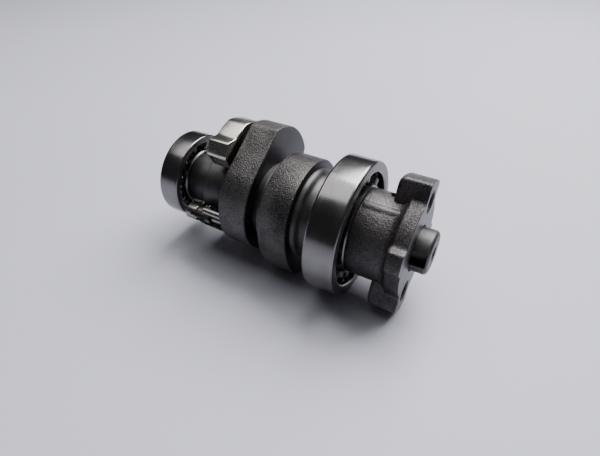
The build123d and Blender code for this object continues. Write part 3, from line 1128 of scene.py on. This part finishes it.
@dataclass
class SprocketFlange:
    """The cast hub and eared plate that the sprocket bolts to.

    The two ears hold the bolt holes, and the two small lugs stand between them. A rim is the
    rounding of an edge along the shaft, and a round that of a corner seen along it.
    """

    extent: Extent
    hub_r: float = 11.0
    plate: float = 4.0
    plate_r: float = 12.3
    ear_angle: float = 67.0
    ear_tip_r: float = 16.8
    ear_width: float = 9.2
    ear_thickness: float = 7.6
    lug_angle: float = 161.0
    lug_r: float = 14.3
    lug_width: float = 5.6
    bolt_r: float = 2.5
    bolt_circle: float = 11.5
    bolt_depth: float = 8.6
    seat_r: float = 5.91
    rib_angle: float = 108.0
    rib_half: float = 7.5
    rib_rise: float = 0.35
    cast_round: float = 0.8
    ear_round: float = 0.6
    front_rim: float = 0.2
    back_rim: float = 1.0
    ear_rim: float = 1.5
    plate_overlap: float = 0.4
    hub_flare: float = 1.2
    mouth: float = 1.0

    def spoke(self, turn: Array, angle: float, reach: float, width: float) -> Array:
        """Work out how far a flat arm with a round end reaches in each direction.

        The arm's side is at width / 2 from its centre line, so it reaches
        width / (2 |sin(turn - angle)|), and no further than its tip.

        Args:
            turn: The directions, in degrees.
            angle: Direction of the arm's centre line.
            reach: How far its tip is from the shaft's axis.
            width: The arm's width.

        Returns:
            The arm's reach in each direction, and 0 behind it.
        """
        off = np.radians(turn - angle)
        side = width / 2 / np.maximum(np.abs(np.sin(off)), 1e-6)
        return np.where(np.cos(off) > 0, np.minimum(side, reach), 0)

    def outline(self) -> Array:
        """Draw the plate: a disc with two ears and two small lugs.

        Returns:
            The closed outline, with its corners rounded as cast.
        """
        turn = np.linspace(0, 360, 2880, endpoint=False)
        reach = np.full_like(turn, self.plate_r)
        arms = (
            (self.ear_angle, self.ear_tip_r, self.ear_width),
            (self.lug_angle, self.lug_r, self.lug_width),
        )
        for half in (0, 180):
            for angle, tip, width in arms:
                reach = np.maximum(reach, self.spoke(turn, angle + half, tip, width))
        return soften(polar(reach, turn), self.cast_round, 960)

    def ear(self, half: float) -> Shell:
        """Make one ear's thick boss, rounded behind.

        Args:
            half: 0 for the upper ear and 180 for the lower.

        Returns:
            The closed surface.
        """
        turn = np.linspace(-90, 90, 721)[1:-1] + self.ear_angle + half
        reach = self.spoke(turn, self.ear_angle + half, self.ear_tip_r - 0.02, self.ear_width)
        outline = soften(np.vstack([polar(reach, turn), [[0, 0]]]), self.ear_round, 480)
        x0, x1 = -self.ear_thickness, -0.6
        return slab(outline, x0, x1, self.ear_rim, self.front_rim, 10, shrink=True)

    def make(self) -> None:
        """Make the flange as a hub, a plate, two ears and a rib, and drill its holes and bore."""
        x_hub, x_front = float(self.extent.low[0]), -self.plate + self.plate_overlap
        hub = rounded_profile([
            (x_hub, self.seat_r, 0), (x_hub, self.hub_r, 0.4), (-self.plate - 1.0, self.hub_r, 1.0),
            (x_front, self.hub_r + self.hub_flare, 0), (x_front, self.seat_r, 0),
            (x_hub, self.seat_r, 0),
        ])[:-1]
        plate = slab(
            self.outline(), -self.plate, 0, self.back_rim, self.front_rim, shrink=True,
        )
        shapes = {
            "flange_hub": (turned(hub, closed=True), (0, 180)),
            "flange_plate": (plate, (0, 180)),
            "flange_upper_ear": (self.ear(0), (0,)),
            "flange_lower_ear": (self.ear(180), (180,)),
            "flange_parting_rib": (self.rib(x_hub), ()),
        }
        bore = rounded_profile([
            (x_hub - 1, 0, 0), (x_hub - 1, self.seat_r, 0), (1, self.seat_r, 0), (1, 0, 0),
        ])
        for name, (shell, halves) in shapes.items():
            piece = build(name, shell, "shaft", "sprocket_flange", CAST_FLANGE)
            for half in halves:
                carve(piece, self.hole(polar(self.bolt_circle, self.ear_angle + half)))
            if "ear" in name or "plate" in name:
                carve(piece, turned(bore))
            if "plate" in name:
                refinish(piece, FACED_IRON, FLAT_LEAST_X, front_only=True)

    def hole(self, at: Array) -> Shell:
        """Make the shape of one blind bolt hole with its countersunk mouth.

        Args:
            at: The hole's (y, z).

        Returns:
            The closed surface of what the drill takes away.
        """
        depth, r, wide = self.bolt_depth, self.bolt_r, self.bolt_r + self.mouth
        profile = rounded_profile([
            (-depth - 1.2, 0, 0), (-depth, r, 0), (-0.4, r, 0), (0.6, wide, 0), (0.6, 0, 0),
        ])
        return turned(profile, (float(at[0]), float(at[1])), steps=72)

    def rib(self, x_hub: float) -> Shell:
        """Make the low parting rib along the hub's top, which rises as a squared cosine.

        Args:
            x_hub: The hub's left face.

        Returns:
            The closed surface.
        """
        turn = np.linspace(-self.rib_half, self.rib_half, 31)
        rise = self.rib_rise * np.cos(np.radians(turn * 90 / self.rib_half)) ** 2
        top = polar(self.hub_r + rise, self.rib_angle + turn)
        outline = np.vstack([top, polar(self.hub_r - 1, self.rib_angle + turn[::-1])])
        return slab(outline, x_hub + 0.5, -self.plate + 0.2, 0.3, 0.1)


@dataclass
class BallBearing:
    """One open ball bearing with a riveted ribbon cage.

    The lands are the rings' cylinders beside the grooves, as distances from the circle that the
    balls' centres lie on. ribbon is the thickness of each half of the cage.
    """

    name: str
    body: str
    ring: Extent
    bore_r: float
    ball_r: float
    count: int
    inner_land: float
    outer_land: float
    corner: float
    ribbon: float
    ribbon_width: float
    rivet_r: float
    pocket_gap: float = 0.1
    groove_gap: float = 0.03
    bore_gap: float = 0.01
    edge: float = 0.3
    ribbon_round: float = 0.94
    head_ratio: float = 1.75
    head_rise: float = 0.25
    ring_steps: int = 256

    @property
    def pitch_r(self) -> float:
        """Radius of the circle that the balls' centres lie on."""
        return (self.bore_r + float(self.ring.high[1])) / 2

    @property
    def middle(self) -> float:
        """Where the balls' centres lie along the shaft."""
        return float(self.ring.low[0] + self.ring.high[0]) / 2

    def places(self, half_step: float = 0) -> Array:
        """Work out where the balls stand, or the rivets between them.

        Args:
            half_step: 0 for the balls and 0.5 for the rivets.

        Returns:
            One (x, y, z) for each.
        """
        turn = (np.arange(self.count) + half_step) * 360 / self.count
        flat = polar(self.pitch_r, turn)
        return np.column_stack([np.full(self.count, self.middle), flat])

    def groove(self, sign: int) -> Array:
        """Draw a raceway as part of a circle a little larger than the ball.

        Args:
            sign: 1 for the inner ring's groove, seen from outside, and -1 for the outer ring's.

        Returns:
            The groove's points (x, r), from left to right.
        """
        r = self.ball_r + self.groove_gap
        land = self.inner_land if sign > 0 else self.outer_land
        half = math.sqrt(max(r**2 - land**2, 0))
        x = np.linspace(-half, half, 25)
        return np.column_stack([self.middle + x, self.pitch_r - sign * np.sqrt(r**2 - x**2)])

    def make_rings(self) -> None:
        """Make the two hardened rings, each a closed profile turned about the shaft."""
        x0, x1 = float(self.ring.low[0]), float(self.ring.high[0])
        outside, edge, c = float(self.ring.high[1]), self.edge, self.corner
        land = self.pitch_r + self.outer_land
        outer = rounded_profile([
            (x0, land + edge, 0), (x0, outside, c), (x1, outside, c), (x1, land + edge, 0.15),
            (x1 - edge, land, 0.1), (x1 - edge - 0.1, land, 0),
        ], 9)
        tail = np.array([[x0 + edge, land]])
        loop = np.vstack([outer, self.groove(-1)[::-1], tail])
        outer_ring = build(
            self.name + "_outer", turned(loop, closed=True, steps=self.ring_steps),
            self.body + "_outer", self.name + "_outer_ring", GROUND_RING,
        )
        # The side faces take the rougher steel, whose darker colour is painted shade.
        refinish(outer_ring, RING_FACE_PAINTED_SHADE, FLAT_LEAST_X)
        land, bore = self.pitch_r - self.inner_land, self.bore_r + self.bore_gap
        inner = rounded_profile([
            (x1, land - edge, 0), (x1, bore, 0.3), (x0, bore, 0.3), (x0, land - edge, 0.15),
            (x0 + edge, land, 0.1), (x0 + edge + 0.1, land, 0),
        ])
        loop = np.vstack([inner, self.groove(1), [[x1 - edge, land]]])
        build(
            self.name + "_inner", turned(loop[::-1], closed=True, steps=self.ring_steps), "shaft",
            self.name + "_inner_ring", RACE_STEEL,
        )

    def make_cage(self) -> None:
        """Make the cage's two halves, each a ribbon that bulges round every ball.

        At a distance s from the nearest ball's centre line, the ribbon's inside stands
        sqrt(pocket^2 - s^2) from the middle, and its outside sqrt((pocket + ribbon)^2 - s^2) or the
        ribbon's thickness, whichever is more.
        """
        turn = np.linspace(0, math.tau, 120 * self.count, endpoint=False)
        step = math.tau / self.count
        off = (turn + step / 2) % step - step / 2
        pocket = self.ball_r + self.pocket_gap
        inset = self.ribbon_round
        r = self.pitch_r + self.ribbon_width / 2 * np.array([-1, -1, -inset, inset, 1, 1])
        apart = r[:, None] ** 2 + self.pitch_r**2 - 2 * r[:, None] * self.pitch_r * np.cos(off)
        inside = np.sqrt(np.maximum(pocket**2 - apart, 0))
        bulge = np.sqrt(np.maximum((pocket + self.ribbon) ** 2 - apart, 0))
        outside = np.maximum(bulge, self.ribbon)
        full = np.array([inset, inset, 1, 1, inset, inset])[:, None]
        top = (inside + (outside - inside) * full)[1:-1]
        lift = np.concatenate([inside[:1], top, inside[-1:]])
        rings = np.concatenate([r, r[-1:], r[:1]])
        lift = np.concatenate([lift, inside[-1:], inside[:1]])
        points = np.stack([
            self.middle + lift, rings[:, None] * np.cos(turn), rings[:, None] * np.sin(turn),
        ], axis=-1)
        half = grid(points, True, True)
        for side, shell in (("right", half), ("left", half.mirrored(self.middle))):
            build(
                f"{self.name}_cage_{side}_half", shell, self.body + "_cage",
                f"{self.name}_cage_{side}", CAGE_STEEL,
            )

    def make_rolling(self) -> None:
        """Make the balls and the cage's headed rivets."""
        build(
            self.name + "_ball_set", ball(self.ball_r).copies(self.places()), self.body + "_cage",
            self.name + "_balls", BALL_STEEL,
        )
        grip, r = self.ribbon, self.rivet_r
        head, end = r * self.head_ratio, grip + self.head_rise
        profile = rounded_profile([
            (-end, 0, 0), (-end, head, 0.2), (-grip, head, 0), (-grip, r, 0),
            (grip, r, 0), (grip, head, 0), (end, head, 0.2), (end, 0, 0),
        ], 4)
        rivets = turned(profile, steps=24).copies(self.places(0.5))
        build(
            self.name + "_rivet_set", rivets, self.body + "_cage", self.name + "_cage_rivets",
            CAGE_STEEL,
        )

    def make(self) -> None:
        """Make the whole bearing."""
        self.make_rings()
        self.make_cage()
        self.make_rolling()


@dataclass
class Decompressor:
    """The polished weight, its pivot and stop pins and its return spring.

    The weight is a thick block over the neck, a thin web below it and a link to an eye on the pivot
    pin. A lug beside the eye rests on the stop pin and takes the spring. The lifting nose stands
    out of the web into lobe 1's notch, and nose gives it as notch does.
    """

    weight: Extent
    pivot_node: Extent
    lobe_left: float
    pivot_r: float = 11.1
    pivot_angle: float = 204.0
    inner_r: float = 10.5
    outer_r: float = 19.1
    arm_r: float = 12.9
    web: float = 1.6
    thick: float = 5.9
    gap: float = 0.9
    eye_r: float = 2.1
    pin_r: float = 1.1
    head_r: float = 2.2
    head_length: float = 3.3
    stop_r: float = 0.95
    stop_reach: float = 4.4
    stop_bearing: float = 122.0
    stop_length: float = 5.9
    lug: float = 1.2
    lug_reach: float = 4.3
    wire_r: float = 0.35
    contact: float = 0.06
    coil_length: float = 2.0
    coil_turns: int = 2
    coil_gap: float = 0.15
    leg: float = 4.2
    toe_angle: float = 119.3
    toe: tuple[tuple[float, float], ...] = (
        (15.7, 119.3), (18.2, 109.0), (17.1, 98.7), (17.9, 92.6),
    )
    back_angles: tuple[float, float] = (83.0, 18.0)
    bottom_angles: tuple[float, float] = (-62.0, -105.0)
    block_round: float = 0.5
    block_rim: float = 0.3
    web_rim: float = 0.2
    web_end: float = 0.0
    web_overlap: float = 0.4
    link_overlap: float = 1.0
    small_round: float = 0.12
    lug_start: float = 2.2
    lug_length: float = 5.8
    nose: tuple[float, float, float, float] = (11.9, 14.5, -1.2, 1.2)
    nose_angle: float = -80.0
    nose_depth: float = 2.7
    pin_depth: float = 4.0

    @property
    def pivot(self) -> Array:
        """The pivot's (y, z)."""
        return polar(self.pivot_r, self.pivot_angle)

    @property
    def web_left(self) -> float:
        """The web's left side."""
        return float(self.weight.low[0])

    @property
    def coil_r(self) -> float:
        """Radius of the spring's coil, to the middle of its wire."""
        return self.pin_r + 2 * self.contact + self.wire_r

    @property
    def lug_face(self) -> float:
        """How far the lug's sprung face lies from the radial line through the pivot."""
        return self.coil_r - self.wire_r - self.contact

    @property
    def lug_bearing(self) -> float:
        """Direction of the lug from the pivot, closed against the stop pin."""
        across = self.stop_r + self.contact + self.lug - self.lug_face
        return self.stop_bearing + math.degrees(math.asin(across / self.stop_reach))

    def block_outline(self) -> Array:
        """Draw the weight's thick part: a toe with a ridge and a valley, then a round back.

        toe holds the toe's corner, ridge, valley and rise as (radius, angle). The inside follows
        the shaft, and the bottom is as slim as the arm.

        Returns:
            The closed outline.
        """
        start, end = self.back_angles
        points = ((self.inner_r, self.toe_angle), *self.toe, (self.outer_r, start))
        toe = np.array([polar(*point) for point in points])
        back = polar(self.outer_r, np.linspace(start, end, 60))
        bottom = polar(self.arm_r, np.linspace(*self.bottom_angles, 40))
        inside = polar(self.inner_r, np.linspace(self.bottom_angles[1], self.toe_angle, 160))
        return soften(np.vstack([toe, back[1:], bottom, inside[:-1]]), self.block_round, 900)

    def sector(self, start: float, end: float) -> Array:
        """Draw the web's part of a flat ring between two angles."""
        sweep = np.linspace(start, end, 80)
        return np.vstack([polar(self.arm_r, sweep), polar(self.inner_r, sweep[::-1])])

    def bar(self, near: float, far: float, x0: float, x1: float) -> Shell:
        """Make the lug from near to far off the pivot, between two places along the shaft.

        Args:
            near: Where the lug starts, from the pivot.
            far: Where it ends.
            x0: Its left side.
            x1: Its right side.

        Returns:
            The closed surface.
        """
        top, low = self.lug_face, self.lug_face - self.lug
        corners = rotated(rectangle(near, far, low, top), self.lug_bearing) + self.pivot
        small = self.small_round
        return slab(soften(corners, small, 160), x0, x1, small, small, 4)

    def make_weight(self) -> None:
        """Make the weight: block, web, link, eye, lug and lifting nose."""
        x0, x_web = self.web_left, self.web_left + self.web
        x_right = self.lobe_left - self.gap
        x_block = x_right - self.thick
        end, rim = self.bottom_angles[1], self.web_rim
        nose = soften(rotated(rectangle(*self.nose), self.nose_angle), self.small_round, 160)
        eye = rounded_profile([
            (x0, 0, 0), (x0, self.eye_r, 0.15), (x_web, self.eye_r, 0.15), (x_web, 0, 0),
        ])
        block = joined([
            slab(self.block_outline(), x_block, x_right, self.block_rim, self.block_rim),
            slab(self.sector(end, self.web_end), x0, x_block + self.web_overlap, rim, 0.05),
            slab(nose, x_right - 2, self.lobe_left + self.nose_depth, 0.1, 0.3, 4),
        ])
        link_start, link_end = self.pivot_angle - 360, end + self.link_overlap
        link = joined([
            slab(self.sector(link_start, link_end), x0, x_web, rim, rim),
            turned(eye, tuple(self.pivot), steps=72),
            self.bar(0.0, self.lug_reach, x0, x_web),
            self.bar(self.lug_start, self.lug_reach, x0 + 0.2, x0 + self.lug_length),
        ])
        parts = (("block", block, WEIGHT_STEEL), ("link", link, LINK_STEEL))
        for part, shell, finish in parts:
            name = "decompression_weight_" + part
            build(name, shell, "weight", "decompression_weight", finish)

    def make_pins(self) -> None:
        """Make the headed pivot pin and the stop pin beside it."""
        x0, x1 = float(self.pivot_node.low[0]), float(self.pivot_node.high[0])
        x_head, r = x0 + self.head_length, self.pin_r
        pivot = rounded_profile([
            (x0, 0, 0), (x0, self.head_r, 0.4), (x_head, self.head_r, 0.3), (x_head, r, 0),
            (x1, r, 0.2), (x1, 0, 0),
        ])
        x0, x1 = self.lobe_left - self.stop_length, self.lobe_left + self.pin_depth
        r = self.stop_r
        stop = rounded_profile([(x0, 0, 0), (x0, r, 0.2), (x1, r, 0.2), (x1, 0, 0)])
        stop_at = self.pivot + polar(self.stop_reach, self.stop_bearing)
        pins = (("pivot_pin", pivot, self.pivot, 96), ("stop_pin", stop, stop_at, 64))
        for name, profile, at, steps in pins:
            shell = turned(profile, tuple(at), steps=steps)
            build(name, shell, "shaft", "weight_" + name, PIN_STEEL)

    def make_spring(self) -> None:
        """Make the return spring.

        The coil is (x0 + rise v, pivot + r (cos v, sin v)), and each leg leaves it at a tangent.
        The first leg bears on the weight's lug, and the last one on the stop pin.
        """
        across = self.stop_r + self.contact + self.wire_r - self.coil_r
        fixed = self.stop_bearing - math.degrees(math.asin(across / self.stop_reach))
        start = self.lug_bearing + 90
        turns = self.coil_turns + (fixed - 90 - start) % 360 / 360
        rise = self.coil_length / turns / (math.tau * self.coil_r)
        x0 = self.web_left + self.web + self.coil_gap + self.wire_r + self.leg * rise
        v = np.radians(start) + np.linspace(0, math.tau * turns, 260)
        coil = np.stack([
            x0 + self.coil_length * np.linspace(0, 1, len(v)),
            self.pivot[0] + self.coil_r * np.cos(v),
            self.pivot[1] + self.coil_r * np.sin(v),
        ], axis=-1)
        reach = np.linspace(self.leg, 0, 12, endpoint=False)[:, None]
        lead = (coil[1] - coil[0]) / np.linalg.norm(coil[1] - coil[0])
        tail = (coil[-1] - coil[-2]) / np.linalg.norm(coil[-1] - coil[-2])
        path = np.vstack([coil[0] - lead * reach, coil, coil[-1] + tail * reach[::-1]])
        piece = build(
            "return_spring", tube(path, self.wire_r), None, "weight_return_spring",
            SPRING_WIRE,
        )
        ends = (np.array([x, *self.pivot]) * MM for x in (x0, x0 + self.coil_length))
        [tuple(map(float, end)) for end in ends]
        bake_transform(piece)

    def make(self) -> None:
        """Make the whole mechanism."""
        self.make_weight()
        self.make_pins()
        self.make_spring()


# Floor, lights and camera


@dataclass(frozen=True)
class SoftLight:
    """A square soft light: its place and side in millimetres, and its power in watts."""

    name: str
    place: tuple[float, float, float]
    side: float
    watts: float
    colour: Colour = (1.0, 0.985, 0.975)

    def hang(self, target: Vector) -> None:
        """Hang the light so that it faces the target, which is in metres.

        Args:
            target: The point it faces.
        """
        data = bpy.data.lights.new(self.name, "AREA")
        data.size = self.side * MM
        data.energy = self.watts
        data.color = self.colour
        light = linked(self.name, data)
        light.location = Vector(self.place) * MM
        light.rotation_euler = (target - light.location).to_track_quat("-Z", "Y").to_euler()


@dataclass(frozen=True)
class Room:
    """The light from all round: dark low down and pale overhead, brighter from behind.

    stops are the colours up the room, and lean is how much of the height comes from being behind.
    The camera itself sees the plain backdrop instead.
    """

    stops: tuple[tuple[float, Colour], ...] = (
        (0.0, (0.085, 0.08, 0.085)), (0.45, (0.11, 0.11, 0.115)),
        (0.72, (0.26, 0.26, 0.275)), (0.95, (0.95, 0.95, 1.0)),
    )
    lean: float = 0.30
    strength: float = 0.52
    backdrop: Colour = (0.46, 0.465, 0.53)

    def make(self) -> None:
        """Make the world's nodes: height + lean x depth into a ramp, and the backdrop."""
        world = bpy.data.worlds.new("room")
        bpy.context.scene.world = world
        world.use_nodes = True
        tree = world.node_tree
        direction = tree.nodes.new("ShaderNodeTexCoord").outputs["Generated"]
        parts = tree.nodes.new("ShaderNodeSeparateXYZ")
        tree.links.new(direction, parts.inputs[0])
        height = tree.nodes.new("ShaderNodeMath")
        height.operation = "MULTIPLY_ADD"
        height.inputs[1].default_value = self.lean
        tree.links.new(parts.outputs["Y"], height.inputs[0])
        tree.links.new(parts.outputs["Z"], height.inputs[2])
        ramp = tree.nodes.new("ShaderNodeValToRGB")
        tree.links.new(height.outputs[0], ramp.inputs["Fac"])
        elements = ramp.color_ramp.elements
        low, high = elements
        (low.position, lowest), *between, (high.position, highest) = self.stops
        low.color, high.color = (*lowest, 1), (*highest, 1)
        for position, colour in between:
            elements.new(position).color = (*colour, 1)
        light = tree.nodes["Background"]
        tree.links.new(ramp.outputs["Color"], light.inputs["Color"])
        light.inputs["Strength"].default_value = self.strength
        backdrop = tree.nodes.new("ShaderNodeBackground")
        backdrop.inputs["Color"].default_value = (*self.backdrop, 1)
        chooser = tree.nodes.new("ShaderNodeMixShader")
        seen = tree.nodes.new("ShaderNodeLightPath").outputs["Is Camera Ray"]
        outlet = tree.nodes["World Output"].inputs["Surface"]
        tree.links.new(seen, chooser.inputs["Fac"])
        tree.links.new(light.outputs[0], chooser.inputs[1])
        tree.links.new(backdrop.outputs[0], chooser.inputs[2])
        tree.links.new(chooser.outputs[0], outlet)


@dataclass
class Studio:
    """A plain pale floor, soft light and the photograph's camera."""

    floor_z: float
    place: tuple[float, float, float] = (15.131, -84.696, 71.068)
    right: tuple[float, float, float] = (0.8715, 0.4903, 0.0075)
    up: tuple[float, float, float] = (-0.3118, 0.5423, 0.7802)
    forward: tuple[float, float, float] = (-0.3784, 0.6823, -0.6255)
    lens: float = 27.28
    sensor: float = 36.0
    nearest: float = 5.0
    floor_half: float = 1500.0
    target: tuple[float, float, float] = (-30.0, 0.0, 0.0)
    lights: tuple[SoftLight, ...] = (
        SoftLight("key_light", (40, 275, 415), 420, 7.0),
        SoftLight("ceiling_light", (-230, 20, 520), 420, 1.5),
    )

    def make_camera(self) -> None:
        """Stand the camera where the photograph was taken from."""
        data = bpy.data.cameras.new("camera")
        data.lens = self.lens
        data.sensor_width = self.sensor
        data.clip_start = self.nearest * MM
        camera = linked("camera", data)
        turn = Matrix((self.right, self.up, [-part for part in self.forward])).transposed()
        camera.matrix_world = Matrix.Translation(Vector(self.place) * MM) @ turn.to_4x4()
        bpy.context.scene.camera = camera

    def make_floor(self) -> None:
        """Lay the floor, a flat grid under the lowest point of the part."""
        side = np.linspace(-self.floor_half, self.floor_half, 5)
        x, y = np.meshgrid(side, side, indexing="ij")
        sheet = grid(np.stack([x, y, np.full_like(x, self.floor_z)], axis=-1), False, False)
        mesh = bpy.data.meshes.new("floor")
        mesh.from_pydata((sheet.vertices * MM).tolist(), [], sheet.quads[:, ::-1].tolist())
        mesh.materials.append(PaleFloor().material())
        linked("floor", mesh)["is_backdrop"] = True

    def make(self) -> None:
        """Set up the whole studio."""
        self.make_camera()
        self.make_floor()
        Room().make()
        for light in self.lights:
            light.hang(Vector(self.target) * MM)


def box_as_lists(box: tuple[Vector, Vector]) -> list[list[float]]:
    """Turn a box's two corners into plain lists."""
    return [list(map(float, corner)) for corner in box]


def main() -> None:
    """Build the part in order, then the studio."""
    logging.basicConfig(level=logging.INFO, format="%(relativeCreated)d ms %(message)s")
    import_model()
    cad_box = box_as_lists(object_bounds())
    big_ring = Extent.of("big_bearing_outer_ring")
    small_ring = Extent.of("small_bearing_outer_ring")
    shaft = CastShaft(big_ring, small_ring, Extent.of("camshaft"))
    shaft.make_turned()
    shaft.make_lobes()
    SprocketFlange(Extent.of("sprocket_flange")).make()
    BallBearing(
        "big_bearing", "big", big_ring, bore_r=8.5, ball_r=2.38, count=10,
        inner_land=1.5, outer_land=1.7, corner=0.8, ribbon=0.5, ribbon_width=1.8, rivet_r=0.4,
    ).make()
    BallBearing(
        "small_bearing", "small", small_ring, bore_r=6.0, ball_r=1.5875, count=11,
        inner_land=1.1, outer_land=1.1, corner=0.5, ribbon=0.35, ribbon_width=1.2, rivet_r=0.25,
        pocket_gap=0.08,
    ).make()
    Decompressor(
        Extent.of("decompression_weight"), Extent.of("weight_pivot_pin"), shaft.lobe_1_left,
    ).make()
    Studio(float(cad_box[0][2]) / MM).make()


if __name__ == "__main__":
    main()
